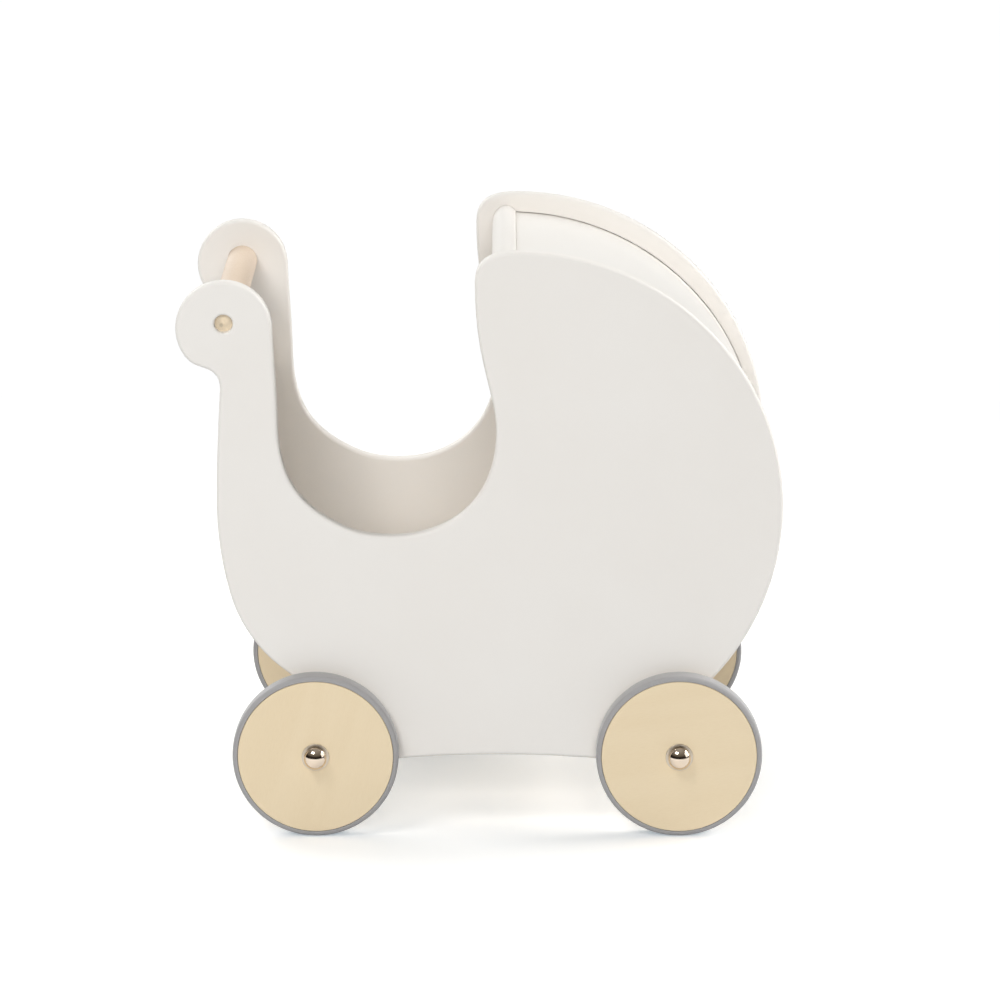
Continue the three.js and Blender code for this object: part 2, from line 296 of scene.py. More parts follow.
def paint_finish(name, rgb, grain_depth):
    """Sprayed satin paint: slightly uneven gloss, fine peel, and a hint of the grain below."""
    finish = Finish(name, Specular_IOR_Level=0.45)
    here = finish.place()
    cloud = finish.noise(here, 0.16, detail=3)
    tint = finish.blend(finish.ramp(cloud, 0.3, 0.7), warmer(scaled(rgb, 0.985), 0.012), rgb)
    peel = finish.noise(here, 0.0016, detail=2)
    dust = finish.noise(here, 0.0045, detail=4, roughness=0.6)
    grain = finish.noise(finish.place(stretch=(1, 12, 14)), 0.05, detail=5, roughness=0.6)
    relief = finish.bump(grain, grain_depth)
    relief = finish.bump(peel, 0.000012, under=relief)
    rough = 0.40 + 0.10 * cloud + 0.06 * dust
    return finish.connect(Base_Color=tint, Roughness=rough, Normal=relief)


def wood_finish(
    name, rgb, grain_rgb, along, source=None, figure=0.5, fleck_length=0.004, end=None
):
    """Lacquered wood. along stretches the pattern along the grain, source gives the point on
    the wood where it isn't simply the point on the piece, figure is how strong the grain is,
    and end is how far from the middle of the pram a bar's end grain starts."""
    finish = Finish(name, Specular_IOR_Level=0.4, Coat_Weight=0.12, Coat_Roughness=0.35)
    start = source(finish) if source else None
    broad = finish.noise(finish.place(stretch=along, source=start), 0.03, detail=4, distortion=0.8)
    fibre_stretch = tuple(2 if share < 1 else 12 for share in along)
    fibre = finish.noise(finish.place(stretch=fibre_stretch, source=start), 0.012, 5, 0.65)
    fleck_stretch = tuple(1 if share < 1 else 9 for share in along)
    fleck = finish.noise(finish.place(stretch=fleck_stretch, source=start), fleck_length, 2)
    bands = finish.ramp(broad, 0.35, 0.68)
    streaks = finish.ramp(fibre, 0.38, 0.72)
    flecks = finish.ramp(fleck, 0.66, 0.80)
    dark = figure * (0.45 * bands + 0.4 * streaks + 0.5 * flecks)
    tint = finish.blend(dark, rgb, grain_rgb)
    if end:
        tint = add_end_grain(finish, tint, end)
    relief = finish.bump(fibre, 0.00003)
    relief = finish.bump(1 - flecks, 0.00003, under=relief)
    rough = 0.46 + 0.12 * streaks + 0.08 * flecks
    return finish.connect(Base_Color=tint, Roughness=rough, Normal=relief)


def add_end_grain(finish, tint, start):
    """Speckled end grain on the handle bar, with a painted shadow below and left of its centre and
    a painted highlight above it, where light and shade fall on the end and its pip. start is how
    far from the middle of the pram it begins."""
    across = finish.add("ShaderNodeSeparateXYZ", {}, {0: finish.place()}, output="Y")
    cut_end = finish.ramp(across.math("ABSOLUTE", across), start, start + 2 * MM)
    centre = middle("handle_bar")
    # painted shade and painted highlight: a dark spot below the centre and a pale one above it,
    # for the shading of the domed end and its pip
    painted_shadow_spot = centre + Vector((-2.0 * MM, 0, -2.2 * MM))
    painted_highlight_spot = centre + Vector((0.5 * MM, 0, 1.6 * MM))
    speckle = finish.ramp(finish.noise(finish.place(), 0.0012, detail=3), 0.3, 0.75)
    rgb = bpy.context.scene.pram_colours.bar_end
    end_tint = finish.blend(speckle, scaled(rgb, 1.02), scaled(rgb, 0.93))
    end_tint = finish.blend(finish.spot(painted_highlight_spot, 4.5 * MM), end_tint, scaled(rgb, 1.2))
    end_tint = finish.blend(finish.spot(painted_shadow_spot, 2.2 * MM), end_tint, scaled(rgb, 0.76))
    return finish.blend(cut_end, tint, end_tint)


def grain_attribute(finish):
    """The point on the wheel disc as it was cut, so that each disc has its own grain."""
    return finish.add("ShaderNodeAttribute", {"attribute_name": "grain"}, output="Vector")


def rubber_finish(name, rgb):
    """Moulded grey rubber: matt, finely pitted, a little dusty."""
    finish = Finish(name, Specular_IOR_Level=0.45, Sheen_Weight=0.4, Sheen_Roughness=0.4)
    here = finish.place()
    cloud = finish.noise(here, 0.02, detail=4)
    pits = finish.noise(here, 0.0006, detail=2)
    dust = finish.noise(here, 0.0035, detail=4, roughness=0.7)
    tint = finish.blend(0.6 * finish.ramp(dust, 0.5, 0.75), rgb, scaled(rgb, 1.07))
    rough = 0.62 + 0.14 * cloud
    relief = finish.bump(pits, 0.00002)
    return finish.connect(Base_Color=tint, Roughness=rough, Normal=relief)


def metal_finish(name, rgb, roughness, scratches):
    """Plated steel with fine wiping marks."""
    finish = Finish(name, Metallic=1.0)
    here = finish.place()
    cloud = finish.noise(here, 0.006, detail=3)
    marks = finish.noise(finish.place(stretch=(1, 9, 1), turn=(0, 0, 0.4)), 0.0007, detail=3)
    tint = finish.blend(cloud, scaled(rgb, 0.95), rgb)
    rough = roughness + 0.5 * roughness * cloud + 0.4 * roughness * marks
    relief = finish.bump(marks, scratches)
    return finish.connect(Base_Color=tint, Roughness=rough, Normal=relief)


def nylon_finish(name, rgb):
    """Moulded plastic, slightly waxy."""
    finish = Finish(name, Subsurface_Weight=0.1, Specular_IOR_Level=0.5)
    here = finish.place()
    cloud = finish.noise(here, 0.004, detail=3)
    tint = finish.blend(cloud, scaled(rgb, 0.97), rgb)
    relief = finish.bump(finish.noise(here, 0.0005), 0.00001)
    return finish.connect(Base_Color=tint, Roughness=0.38 + 0.1 * cloud, Normal=relief)


FINISH_NAMES = {
    "white_board": "Board paint",
    "white_sheet": "Sheet paint",
    "natural_beech": "Lacquered beech",
    "birch_dowel": "Plain birch",
    "birch_ply": "Lacquered birch ply",
    "grey_rubber": "Moulded grey rubber",
    "zinc_steel": "Zinc plate",
    "chrome": "Polished chrome",
    "nylon": "Natural nylon",
}


def make_finish(slot):
    """The finish for one of the record's slots, made when it is first asked for."""
    name = FINISH_NAMES[slot]
    if name in bpy.data.materials:
        return bpy.data.materials[name]
    shade = bpy.context.scene.pram_colours
    along_bar = (1, 0.12, 1)
    along_sheet = (0.12, 1, 1)
    makers = {
        "white_board": lambda: paint_finish(name, shade.board_paint, grain_depth=0.00004),
        "white_sheet": lambda: paint_finish(name, shade.sheet_paint, grain_depth=0.00003),
        "natural_beech": lambda: wood_finish(
            name, shade.beech, shade.beech_grain, along_bar, end=inner_face("side_panel_left")
        ),
        "birch_dowel": lambda: wood_finish(name, shade.birch, shade.birch_grain, along_bar),
        "birch_ply": lambda: wood_finish(
            name,
            shade.birch,
            shade.birch_grain,
            along_sheet,
            source=grain_attribute,
            figure=0.32,
            fleck_length=0.003,
        ),
        "grey_rubber": lambda: rubber_finish(name, shade.rubber),
        "zinc_steel": lambda: metal_finish(name, shade.zinc, roughness=0.26, scratches=0.000004),
        "chrome": lambda: metal_finish(name, shade.chrome, roughness=0.05, scratches=0.0000004),
        "nylon": lambda: nylon_finish(name, shade.nylon),
    }
    return makers[slot]()


# ---- Modelling ----


def clear_selection():
    """Leaves edit mode, with nothing selected."""
    if bpy.context.object and bpy.context.object.mode != "OBJECT":
        bpy.ops.object.mode_set(mode="OBJECT")
    bpy.ops.object.select_all(action="DESELECT")


def open_mesh(piece):
    """Opens a piece in edit mode, with none of its mesh selected."""
    clear_selection()
    piece.select_set(True)
    bpy.context.view_layer.objects.active = piece
    bpy.ops.object.mode_set(mode="EDIT")
    bpy.ops.mesh.select_all(action="DESELECT")


def pick(piece, kind, test):
    """Selects the vertices, edges or faces that pass a test, and nothing else."""
    bpy.ops.mesh.select_mode(type=kind)
    bpy.ops.mesh.select_all(action="DESELECT")
    mesh = bmesh.from_edit_mesh(piece.data)
    items = {"VERT": mesh.verts, "EDGE": mesh.edges, "FACE": mesh.faces}[kind]
    chosen = [item for item in items if test(item)]
    if not chosen:
        raise RuntimeError(f"{piece.name}: nothing to select")
    for item in chosen:
        item.select_set(True)
    bmesh.update_edit_mesh(piece.data)


def between_faces(edge, low, high):
    """True where two faces meet at an angle between low and high degrees."""
    return edge.is_manifold and low < math.degrees(edge.calc_face_angle()) < high


def is_square(edge):
    """True where two faces meet at about a right angle."""
    return between_faces(edge, 60, 120)


def centres(*starts):
    """Centres of the nodes whose names start in one of the given ways."""
    return [middle(name) for name in frame["nodes"] if name.startswith(starts)]


def clear_of(edge, places, reach):
    """True where an edge is further than reach from every place, seen from the side."""
    at = (edge.verts[0].co + edge.verts[1].co) / 2
    return all(math.hypot(at.x - place.x, at.z - place.z) > reach for place in places)


def copy_node(node, name):
    """A closed mesh of a CAD node, its loose triangles joined into whole faces."""
    piece = bpy.data.objects.new(name, frame["nodes"][node].data.copy())
    piece.data.name = name
    piece.data.materials.clear()
    bpy.context.scene.collection.objects.link(piece)
    open_mesh(piece)
    bpy.ops.mesh.select_all(action="SELECT")
    bpy.ops.mesh.remove_doubles(threshold=MERGE)
    bpy.ops.mesh.dissolve_limited(angle_limit=math.radians(0.05))
    return piece


def round_edges(piece, radius, segments, test):
    """Bevels the edges that pass a test."""
    pick(piece, "EDGE", test)
    bpy.ops.mesh.bevel(
        offset=radius,
        segments=segments,
        profile=0.5,
        affect="EDGES",
        clamp_overlap=False,
        loop_slide=False,
    )


def widen(piece, reach):
    """Moves the two ends of a piece out so that they reach into the side boards."""
    board = inner_face("side_panel_left")
    end = max(vertex.co.y for vertex in piece.data.vertices)
    for side in (-1, 1):
        pick(piece, "VERT", lambda vertex: side * vertex.co.y > end - 0.1 * MM)
        bpy.ops.transform.translate(value=(0, side * (board + reach - end), 0))


def fill_holes(piece, places, reach):
    """Turns a drilled board back into a plain one: its outline, closed by two whole faces."""

    def inside_outline(face):
        at = face.calc_center_median()
        near = any(math.hypot(at.x - place.x, at.z - place.z) < reach for place in places)
        return near or abs(face.normal.y) > 0.5

    pick(piece, "FACE", inside_outline)
    bpy.ops.mesh.delete(type="FACE")
    bpy.ops.mesh.select_all(action="SELECT")
    bpy.ops.mesh.fill_holes(sides=0)
    bpy.ops.mesh.select_all(action="SELECT")
    bpy.ops.mesh.normals_make_consistent(inside=False)


def cut(piece, cutter):
    """Cuts one piece out of another and removes the cutter."""
    clear_selection()
    bpy.context.view_layer.objects.active = piece
    modifier = piece.modifiers.new("Cut", "BOOLEAN")
    modifier.operation = "DIFFERENCE"
    modifier.solver = "EXACT"
    modifier.object = cutter
    bpy.ops.object.modifier_apply(modifier=modifier.name)
    bpy.data.objects.remove(cutter)


def drill(piece, side, outline, nodes):
    """Drills a side board at each of the nodes. The outline starts from the inner face."""
    face = inner_face(f"side_panel_{side}")
    pattern = turn("drill", outline, ROUND_SMALL)
    for node in nodes:
        centre = middle(node)
        cutter = put_copy(pattern, "drill_copy", (centre.x, face, centre.z), side)
        cut(piece, cutter)
    bpy.data.objects.remove(pattern)


def cut_groove(piece, node, play):
    """Cuts the groove that holds the edge of a bent sheet, with play on both faces."""
    cutter = copy_node(node, "groove_cutter")
    widen(cutter, bpy.context.scene.pram_sizes.groove_depth)
    bpy.ops.mesh.select_all(action="SELECT")
    bpy.ops.transform.shrink_fatten(value=play)
    cut(piece, cutter)


def polyline(name, points):
    """Draws points in the XY plane, each (x, y, rounding), as a line in edit mode."""
    clear_selection()
    bpy.ops.mesh.primitive_plane_add(size=MM, enter_editmode=True)
    bpy.ops.mesh.select_mode(type="VERT")
    bpy.ops.mesh.merge(type="CENTER")
    piece = bpy.context.object
    piece.name = piece.data.name = name
    bpy.ops.transform.translate(value=(points[0][0], points[0][1], 0))
    for start, end in zip(points, points[1:]):
        step = (end[0] - start[0], end[1] - start[1], 0)
        bpy.ops.mesh.extrude_region_move(TRANSFORM_OT_translate={"value": step})
    return piece


def turn(name, points, facets):
    """A turned piece about the Y axis. points go along its outline, each (radius, y, rounding)."""
    piece = polyline(name, points)
    first, last = points[0], points[-1]
    if first[0] > 0:
        pick(piece, "VERT", lambda v: is_at(v, first) or is_at(v, last))
        bpy.ops.mesh.edge_face_add()
    for point in points:
        if point[2] > 0:
            pick(piece, "VERT", lambda v, point=point: is_at(v, point))
            bpy.ops.mesh.bevel(offset=point[2], segments=5, affect="VERTICES")
    bpy.ops.mesh.select_all(action="SELECT")
    bpy.ops.mesh.spin(steps=facets, angle=TURN, center=(0, 0, 0), axis=(0, 1, 0))
    bpy.ops.mesh.select_all(action="SELECT")
    bpy.ops.mesh.remove_doubles(threshold=MERGE)
    bpy.ops.mesh.normals_make_consistent(inside=False)
    clear_selection()
    return piece


def is_at(vertex, point):
    """True where a vertex lies at a point of an outline."""
    return (vertex.co - Vector((point[0], point[1], 0))).length < SAME


def ring(radius, bore, thick, edge):
    """Outline of a flat ring that lies on the face it starts from."""
    return [(bore, 0, 0), (radius, 0, edge), (radius, thick, edge), (bore, thick, 0)]


def smooth(piece, angle=38):
    """Smooth shading that keeps flat faces flat."""
    clear_selection()
    piece.select_set(True)
    bpy.context.view_layer.objects.active = piece
    bpy.ops.object.shade_smooth_by_angle(angle=math.radians(angle))
    modifier = piece.modifiers.new("Flat faces", "WEIGHTED_NORMAL")
    modifier.mode = "FACE_AREA"
    modifier.weight = 80
    modifier.keep_sharp = True
    bpy.ops.object.modifier_apply(modifier=modifier.name)


def settle(piece, body, slot, *nodes):
    """Gives a finished piece its material and body, and hides the CAD nodes that it replaces."""
    piece.data.materials.clear()
    piece.data.materials.append(make_finish(slot))
    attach(piece, body)
    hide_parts(*nodes)
    clear_selection()


def lay_grain(mesh, grain):
    """Stores where each vertex lay in the sheet of ply, grain along X and face along Y."""
    attribute = mesh.attributes.new("grain", "FLOAT_VECTOR", "POINT")
    for vertex, stored in zip(mesh.vertices, attribute.data):
        stored.vector = grain @ vertex.co


def put_copy(pattern, name, place, side, grain=None):
    """Copies a piece modelled at the origin to a place, facing out of the pram."""
    mesh = pattern.data.copy()
    mesh.name = name
    if grain is not None:
        lay_grain(mesh, grain)
    if side == "right":
        mesh.transform(Matrix.Rotation(math.pi, 4, "Z"))
        place = (place[0], -place[1], place[2])
    mesh.transform(Matrix.Translation(place))
    piece = bpy.data.objects.new(name, mesh)
    bpy.context.scene.collection.objects.link(piece)
    return piece


def body_of(node):
    """The body that a CAD node belongs to."""
    bodies = frame["record"]["behaviour"]["bodies"]
    return next(body for body, nodes in bodies.items() if node in nodes)


def copies(pattern, kind, slot, grain_of=None):
    """Puts one copy of a pattern at each wheel, then removes the pattern."""
    for wheel in WHEELS:
        node = f"{kind}_{wheel}"
        grain = grain_of(wheel) if grain_of else None
        place = (middle(node).x, inner_face(node), middle(node).z)
        piece = put_copy(pattern, f"{wheel}_{kind}", place, wheel.split("_")[1], grain)
        smooth(piece)
        settle(piece, body_of(node), slot, node)
    bpy.data.objects.remove(pattern)


# ---- Operators ----


class PRAM_OT_side_boards(bpy.types.Operator):
    """Model the two side boards with rounded edges and a drilled hole for the handle bar"""

    bl_idname = "pram.side_boards"
    bl_label = "Side Boards"

    def execute(self, context):
        sizes = context.scene.pram_sizes
        holes = centres("dowel_", "axle_front", "axle_rear", "handle_bar")
        widest_hole = 9 * MM
        thick = span("side_panel_left").y
        start, out = -MM, thick + MM
        blind_depth = 9.8 * MM
        sheet_play = 0.1 * MM
        bar_hole = 7.2 * MM
        rim = sizes.hole_edge
        past = 1.01  # ends the flare just past the face, for a clean cut
        flare = [
            (bar_hole + rim - rim * math.cos(a), thick - rim + past * rim * math.sin(a), 0)
            for a in (math.radians(degrees) for degrees in range(15, 91, 15))
        ]
        for side in SIDES:
            node = f"side_panel_{side}"
            piece = copy_node(node, f"{side}_side_board")
            fill_holes(piece, holes, widest_hole)
            round_edges(piece, sizes.board_edge, 6, is_square)
            dowels = [name for name in frame["nodes"] if re.match(f"dowel_.*_{side}_", name)]
            blind = self.outline(ROD_HOLE, start, blind_depth)
            through = self.outline(ROD_HOLE, start, out)
            bar = [
                (0, start, 0),
                (bar_hole, start, 0),
                (bar_hole, thick - rim, 0),
                *flare,
                (bar_hole + rim, out, 0),
                (0, out, 0),
            ]
            drill(piece, side, blind, dowels)
            drill(piece, side, through, ("axle_front", "axle_rear"))
            drill(piece, side, bar, ("handle_bar",))
            cut_groove(piece, "hood_panel", sizes.groove_play)
            cut_groove(piece, "handle_end_panel", sheet_play)
            smooth(piece)
            settle(piece, "pram", "white_board", node)
        return {"FINISHED"}

    def outline(self, radius, start, depth):
        """Outline of a plain drill."""
        return [(0, start, 0), (radius, start, 0), (radius, depth, 0), (0, depth, 0)]


class PRAM_OT_rails(bpy.types.Operator):
    """Model the bullnosed rails at the mouth of the hood and across the handle end"""

    bl_idname = "pram.rails"
    bl_label = "Rails"

    def execute(self, context):
        sizes = context.scene.pram_sizes
        dowels = centres("dowel_")
        for node, name in (("hood_front_rail", "hood_rail"), ("handle_end_rail", "end_rail")):
            piece = copy_node(node, name)
            round_edges(piece, sizes.rail_edge, 3, self.end_test(span(node).y / 2, dowels))
            smooth(piece)
            settle(piece, "pram", "white_board", node)
        return {"FINISHED"}

    def end_test(self, end, dowels):
        """A test for the outline of a rail's two ends, without the dowels' holes."""
        hole_reach = 5 * MM

        def at_end(edge):
            on_end = all(abs(abs(vertex.co.y) - end) < SAME for vertex in edge.verts)
            return on_end and is_square(edge) and clear_of(edge, dowels, hole_reach)

        return at_end


class PRAM_OT_bent_sheets(bpy.types.Operator):
    """Model the bent sheets of the hood and of the cot's handle end, edges in their grooves"""

    bl_idname = "pram.bent_sheets"
    bl_label = "Bent Sheets"

    def execute(self, context):
        sizes = context.scene.pram_sizes
        groove_room = 0.5 * MM
        rail_gap = 0.27 * MM
        rail_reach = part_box("hood_front_rail")[1].x - 10 * MM
        hood_height = 0.4

        def is_near_rail(vertex):
            return vertex.co.x < rail_reach

        def is_free(edge):
            """True for the square edges, apart from the hood sheet's edge in its rail."""
            in_rail = all(is_near_rail(end) and end.co.z > hood_height for end in edge.verts)
            return is_square(edge) and not in_rail

        for node, name in (("hood_panel", "hood_sheet"), ("handle_end_panel", "end_sheet")):
            piece = copy_node(node, name)
            widen(piece, sizes.groove_depth - groove_room)
            if node == "hood_panel":
                pick(piece, "VERT", is_near_rail)
                bpy.ops.transform.translate(value=(-rail_gap, 0, 0))
            round_edges(piece, sizes.sheet_edge, 3, is_free)
            smooth(piece)
            settle(piece, "pram", "white_sheet", node)
        return {"FINISHED"}


class PRAM_OT_cot_floor(bpy.types.Operator):
    """Model the board that the doll lies on"""

    bl_idname = "pram.cot_floor"
    bl_label = "Cot Floor"

    def execute(self, context):
        sizes = context.scene.pram_sizes
        node = "base_panel"
        piece = copy_node(node, "cot_floor_board")
        low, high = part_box(node)

        def along_face(edge):
            """True for the edges round the top face and round the bottom one."""
            on_top = all(abs(vertex.co.z - high.z) < SAME for vertex in edge.verts)
            on_bottom = all(abs(vertex.co.z - low.z) < SAME for vertex in edge.verts)
            return (on_top or on_bottom) and between_faces(edge, 30, 150)

        round_edges(piece, sizes.floor_edge, 3, along_face)
        clear_selection()
        lay_grain(piece.data, Matrix.Rotation(math.pi / 2, 4, "X"))
        smooth(piece)
        settle(piece, "pram", "birch_ply", node)
        return {"FINISHED"}


class PRAM_OT_handle_bar(bpy.types.Operator):
    """Turn the handle bar, with a tenon at each end and the small pip left by the lathe"""

    bl_idname = "pram.handle_bar"
    bl_label = "Handle Bar"

    def execute(self, context):
        sizes = context.scene.pram_sizes
        node = "handle_bar"
        tip = span(node).y / 2
        face = tip - 0.5 * MM  # the tip is the lathe's pip, just proud of the tenon's face
        shoulder = inner_face("side_panel_left") - 0.3 * MM
        radius = span(node).z / 2
        tenon = 7.18 * MM
        pip = 1.6 * MM
        end = [
            (0, tip, 0),
            (pip, face, 0.2 * MM),
            (tenon, face, 0.1 * MM),
            (tenon, shoulder, 0),
            (radius, shoulder, sizes.bar_edge),
        ]
        other_end = [(r, -y, edge) for r, y, edge in reversed(end)]
        piece = turn("turned_handle_bar", end + other_end, ROUND_SMALL)
        piece.data.transform(Matrix.Translation(middle(node)))
        smooth(piece)
        settle(piece, "pram", "natural_beech", node)
        return {"FINISHED"}


class PRAM_OT_dowels(bpy.types.Operator):
    """Give the blind dowels between boards and rails their wood"""

    bl_idname = "pram.dowels"
    bl_label = "Dowels"

    def execute(self, context):
        for name, dowel in frame["nodes"].items():
            if name.startswith("dowel_"):
                dowel.data.materials.clear()
                dowel.data.materials.append(make_finish("birch_dowel"))
        return {"FINISHED"}


class PRAM_OT_axles(bpy.types.Operator):
    """Turn the two steel axles"""

    bl_idname = "pram.axles"
    bl_label = "Axles"

    def execute(self, context):
        sizes = context.scene.pram_sizes
        for node in ("axle_front", "axle_rear"):
            half = span(node).y / 2
            radius = span(node).z / 2
            edge = sizes.metal_edge
            outline = [(0, half, 0), (radius, half, edge), (radius, -half, edge), (0, -half, 0)]
            piece = turn(f"steel_{node}", outline, ROUND_SMALL)
            piece.data.transform(Matrix.Translation(middle(node)))
            smooth(piece)
            settle(piece, "pram", "zinc_steel", node)
        return {"FINISHED"}


class PRAM_OT_wheels(bpy.types.Operator):
    """Turn the ply discs, their grey rubber tyres and the hub bushes"""

    bl_idname = "pram.wheels"
    bl_label = "Wheels"

    def execute(self, context):
        sizes = context.scene.pram_sizes
        wide = span("wheel_disc_front_left").y
        disc = span("wheel_disc_front_left").z / 2
        tyre = span("tyre_front_left").z / 2
        hub = 6.3 * MM
        groove = 1.8 * MM  # depth of the groove round the rim, for the tyre's rib
        first, last = 5.7 * MM, 12.3 * MM  # where the groove starts and ends
        edge = sizes.disc_edge
        outline = [
            (hub, 0, edge),
            (disc, 0, edge),
            (disc, first, 0),
            (disc - groove, first, 0),
            (disc - groove, last, 0),
            (disc, last, 0),
            (disc, wide, edge),
            (hub, wide, edge),
        ]
        copies(turn("disc", outline, ROUND), "wheel_disc", "birch_ply", self.grain)

        gap = 0.3 * MM
        seat = disc + gap
        crown = 0.25 * MM  # how far the tread rises in the middle
        outline = [
            (seat, 0, edge),
            (tyre - crown, 0, sizes.tyre_edge),
            (tyre, wide / 2, 0),
            (tyre - crown, wide, sizes.tyre_edge),
            (seat, wide, edge),
            (seat, last - gap, 0),
            (seat - groove, last - gap, 0),
            (seat - groove, first + gap, 0),
            (seat, first + gap, 0),
        ]
        copies(turn("tyre", outline, ROUND), "tyre", "grey_rubber")

        flange = span("hub_bush_front_left").z / 2
        flange_thick = 2 * MM
        sleeve = 6 * MM
        long = span("hub_bush_front_left").y
        outline = [
            (ROD_HOLE, 0, 0),
            (flange, 0, 0.3 * MM),
            (flange, flange_thick, 0.3 * MM),
            (sleeve, flange_thick, 0),
            (sleeve, long, 0.2 * MM),
            (ROD_HOLE, long, 0),
        ]
        copies(turn("bush", outline, ROUND_SMALL), "hub_bush", "nylon")
        return {"FINISHED"}

    def grain(self, wheel):
        """How each disc lay in the sheet of ply that it was cut from."""
        index = WHEELS.index(wheel)
        angle = math.radians((12, -9, 74, 101)[index])
        apart = 0.3 * index
        return Matrix.Translation((apart, 0, 0.2)) @ Matrix.Rotation(angle, 4, "Y")


class PRAM_OT_hub_fittings(bpy.types.Operator):
    """Turn the washers on both sides of each wheel and the domed caps on the axle ends"""

    bl_idname = "pram.hub_fittings"
    bl_label = "Hub Fittings"

    def execute(self, context):
        edge = context.scene.pram_sizes.metal_edge
        for kind in ("spacer_washer", "outer_washer"):
            size = span(f"{kind}_front_left")
            pattern = turn(kind, ring(size.z / 2, ROD_HOLE, size.y, edge), ROUND_SMALL)
            copies(pattern, kind, "zinc_steel")

        size = span("axle_cap_front_left")
        radius, height = size.z / 2, size.y
        socket_depth = 4.6 * MM
        skirt = 4.4 * MM
        skirt_edge = 0.25 * MM
        foot = 4.7 * MM  # where the dome starts, above a small step
        dome_radius = radius - 0.35 * MM
        rise = height - foot
        ball = (dome_radius**2 + rise**2) / (2 * rise)
        widest = math.asin(dome_radius / ball)
        steps = 16
        dome = [
            (ball * math.sin(angle), height - ball * (1 - math.cos(angle)), 0)
            for angle in (widest * step / steps for step in range(steps, 0, -1))
        ]
        outline = [
            (0, socket_depth, 0),
            (ROD_HOLE, socket_depth, 0),
            (ROD_HOLE, 0, 0),
            (radius, 0, skirt_edge),
            (radius, skirt, skirt_edge),
            *dome,
            (0, height, 0),
        ]
        copies(turn("cap", outline, ROUND_SMALL), "axle_cap", "chrome")
        return {"FINISHED"}


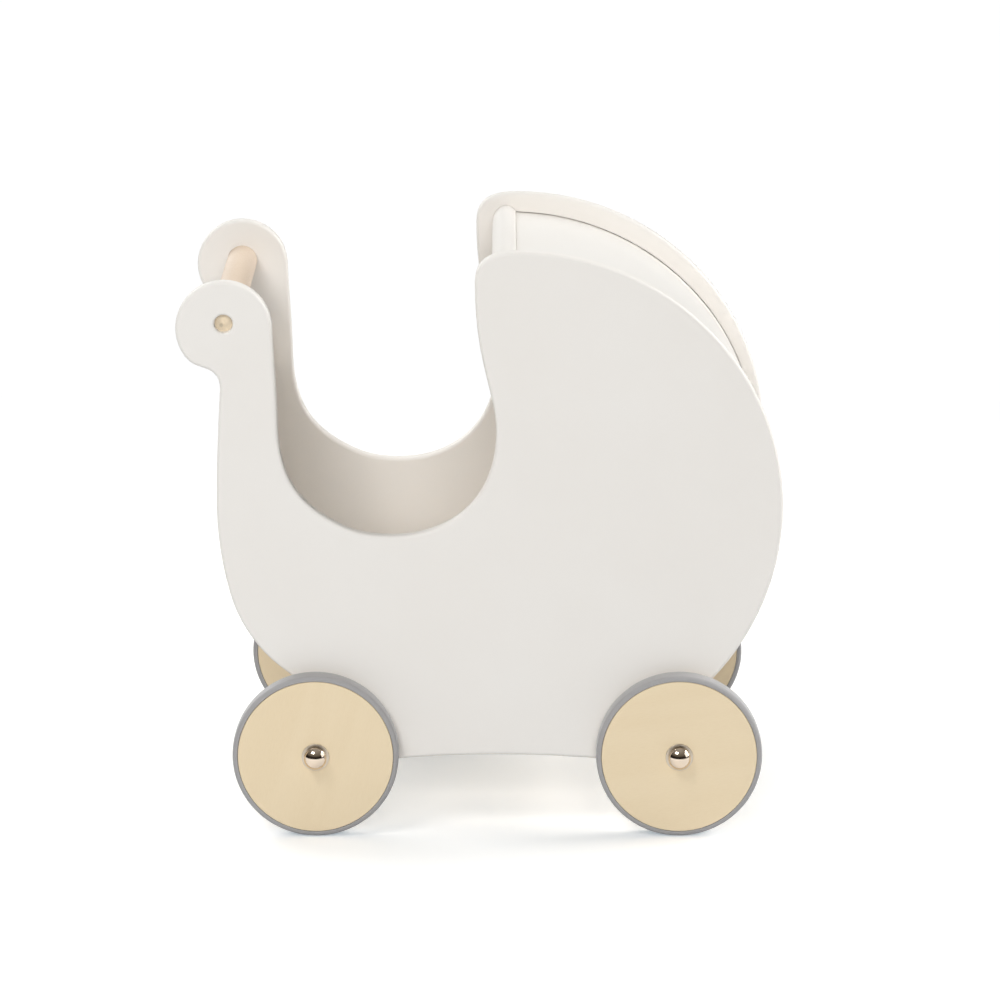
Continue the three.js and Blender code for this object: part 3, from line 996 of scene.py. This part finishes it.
class PRAM_OT_stage(bpy.types.Operator):
    """Set up the pale floor, the soft studio lights and the camera"""

    bl_idname = "pram.stage"
    bl_label = "Stage"

    def execute(self, context):
        scene = context.scene
        scene.view_settings.view_transform = "Standard"
        self.add_floor()
        self.add_studio(scene)
        self.add_softbox("Key softbox", (-1.3, -1.8, 3.0), (1.6, 1.2), 39)
        self.add_softbox("Right softbox", (3.1, 0.7, 1.7), (1.6, 2.4), 111)
        self.add_softbox("Left softbox", (-2.5, 2.5, 2.5), (3.0, 3.0), 122)
        back = self.add_softbox("Back fill", (0, 3.2, 2.2), (3.5, 2.0), 43)
        front = self.add_softbox("Front fill", (-0.2, -5.4, 2.3), (3.0, 2.0), 186)
        for fill in (back, front):
            fill.visible_glossy = False
        card = self.add_softbox("Reflector card", (2.6, -0.85, 1.25), (1.1, 1.7), 9)
        card.visible_diffuse = False
        camera = bpy.data.cameras.new("Camera")
        camera.lens = 162.97
        camera.sensor_width = 36
        camera.shift_x = 0.0025
        camera.clip_end = 100
        view = bpy.data.objects.new("Camera", camera)
        scene.collection.objects.link(view)
        view.location = (0.01335, -3.631, 1.1138)
        view.rotation_euler = (math.radians(76.43), 0, 0)
        scene.camera = view
        return {"FINISHED"}

    def add_floor(self):
        """A white sweep that shades softly near the pram and is plain white away from it."""
        clear_selection()
        bpy.ops.mesh.primitive_plane_add(size=60)
        floor = bpy.context.object
        floor.name = "Floor"
        pale = (0.605, 0.62, 0.645)
        white = (1, 1, 1)
        finish = Finish("Floor", Base_Color=pale, Roughness=0.9, Specular_IOR_Level=0.2)
        flat = finish.place(stretch=(1, 1, 0))
        away = finish.add("ShaderNodeVectorMath", {"operation": "LENGTH"}, {0: flat}, "Value")
        fade = finish.ramp(away, 0.5, 1.6)

        # What the floor sends back to the pram.
        near = Value(finish, finish.shader.outputs[0])
        far = finish.add("ShaderNodeEmission", {}, {"Color": white, "Strength": 0.43})
        bounce = finish.add("ShaderNodeMixShader", {}, {0: fade, 1: near, 2: far})

        # What is seen of it: a warm floor with a cool painted glow added, which lightens the soft
        # shadow and keeps it a neutral grey.
        shaded = finish.add("ShaderNodeBsdfDiffuse", {}, {"Color": (0.93, 0.855, 0.785)})
        painted_glow = finish.add("ShaderNodeEmission", {}, {"Color": (0.68, 0.86, 1.0), "Strength": 0.32})
        shade_and_glow = finish.add("ShaderNodeAddShader", {}, {0: shaded, 1: painted_glow})
        plain = finish.add("ShaderNodeEmission", {}, {"Color": white, "Strength": 1.02})
        view = finish.add("ShaderNodeMixShader", {}, {0: fade, 1: shade_and_glow, 2: plain})

        seen = finish.add("ShaderNodeLightPath", output="Is Camera Ray")
        mirrored = finish.add("ShaderNodeLightPath", output="Is Glossy Ray")
        both = finish.add("ShaderNodeMixShader", {}, {0: seen + mirrored, 1: bounce, 2: view})
        finish.give(finish.tree.nodes["Material Output"].inputs["Surface"], both)
        floor.data.materials.append(finish.material)

    def add_studio(self, scene):
        """Plain white to look at, a dim room to light by, and walls that the metal mirrors."""
        world = bpy.data.worlds.new("Studio")
        world.use_nodes = True
        scene.world = world
        nodes = Nodes(world.node_tree)
        direction = nodes.add("ShaderNodeTexCoord", output="Generated")
        height = nodes.add("ShaderNodeSeparateXYZ", {}, {0: direction}, output="Z")
        stops = [
            (0.50, (0.06, 0.05, 0.04)),
            (0.55, (0.015, 0.012, 0.01)),
            (0.65, (0.04, 0.034, 0.028)),
            (0.74, (0.17, 0.15, 0.125)),
            (0.86, (0.24, 0.22, 0.19)),
            (1.00, (0.42, 0.40, 0.37)),
        ]
        walls = nodes.add("ShaderNodeValToRGB", {"stops": stops}, {0: 0.5 * height + 0.5})
        room = nodes.add("ShaderNodeBackground", {}, {"Color": walls, "Strength": 1.0})
        white = (1, 1, 1)
        dim = nodes.add("ShaderNodeBackground", {}, {"Color": white, "Strength": 0.005})
        plain = nodes.add("ShaderNodeBackground", {}, {"Color": white, "Strength": 1.05})
        seen = nodes.add("ShaderNodeLightPath", output="Is Camera Ray")
        mirrored = nodes.add("ShaderNodeLightPath", output="Is Glossy Ray")
        lit = nodes.add("ShaderNodeMixShader", {}, {0: mirrored, 1: dim, 2: room})
        both = nodes.add("ShaderNodeMixShader", {}, {0: seen, 1: lit, 2: plain})
        nodes.give(nodes.tree.nodes["World Output"].inputs["Surface"], both)

    def add_softbox(self, name, place, size, power):
        """An area light that points at the middle of the pram."""
        lamp = bpy.data.lights.new(name, "AREA")
        lamp.shape = "RECTANGLE"
        lamp.size, lamp.size_y = size
        lamp.energy = power
        lamp.color = (0.963, 0.985, 1.0)
        light = bpy.data.objects.new(name, lamp)
        bpy.context.scene.collection.objects.link(light)
        light.location = place
        aim = Vector((0, 0, 0.2)) - Vector(place)
        light.rotation_euler = aim.to_track_quat("-Z", "Y").to_euler()
        return light


OPERATORS = (
    PRAM_OT_side_boards,
    PRAM_OT_rails,
    PRAM_OT_bent_sheets,
    PRAM_OT_cot_floor,
    PRAM_OT_handle_bar,
    PRAM_OT_dowels,
    PRAM_OT_axles,
    PRAM_OT_wheels,
    PRAM_OT_hub_fittings,
    PRAM_OT_stage,
)


class PRAM_PT_panel(bpy.types.Panel):
    """Sizes, colours and building steps of the pram"""

    bl_idname = "PRAM_PT_panel"
    bl_label = "Doll's Pram"
    bl_space_type = "VIEW_3D"
    bl_region_type = "UI"
    bl_category = "Doll's Pram"

    def draw(self, context):
        for group in (context.scene.pram_sizes, context.scene.pram_colours):
            box = self.layout.box()
            for name in group.__annotations__:
                box.prop(group, name)
        column = self.layout.column(align=True)
        for operator in OPERATORS:
            column.operator(operator.bl_idname)


CLASSES = (PramSizes, PramColours, *OPERATORS, PRAM_PT_panel)


def register():
    for item in CLASSES:
        bpy.utils.register_class(item)
    bpy.types.Scene.pram_sizes = bpy.props.PointerProperty(type=PramSizes)
    bpy.types.Scene.pram_colours = bpy.props.PointerProperty(type=PramColours)


def unregister():
    del bpy.types.Scene.pram_colours
    del bpy.types.Scene.pram_sizes
    for item in reversed(CLASSES):
        bpy.utils.unregister_class(item)


def main():
    register()
    for operator in OPERATORS:
        group, name = operator.bl_idname.split(".")
        getattr(getattr(bpy.ops, group), name)()


if __name__ == "__main__":
    main()
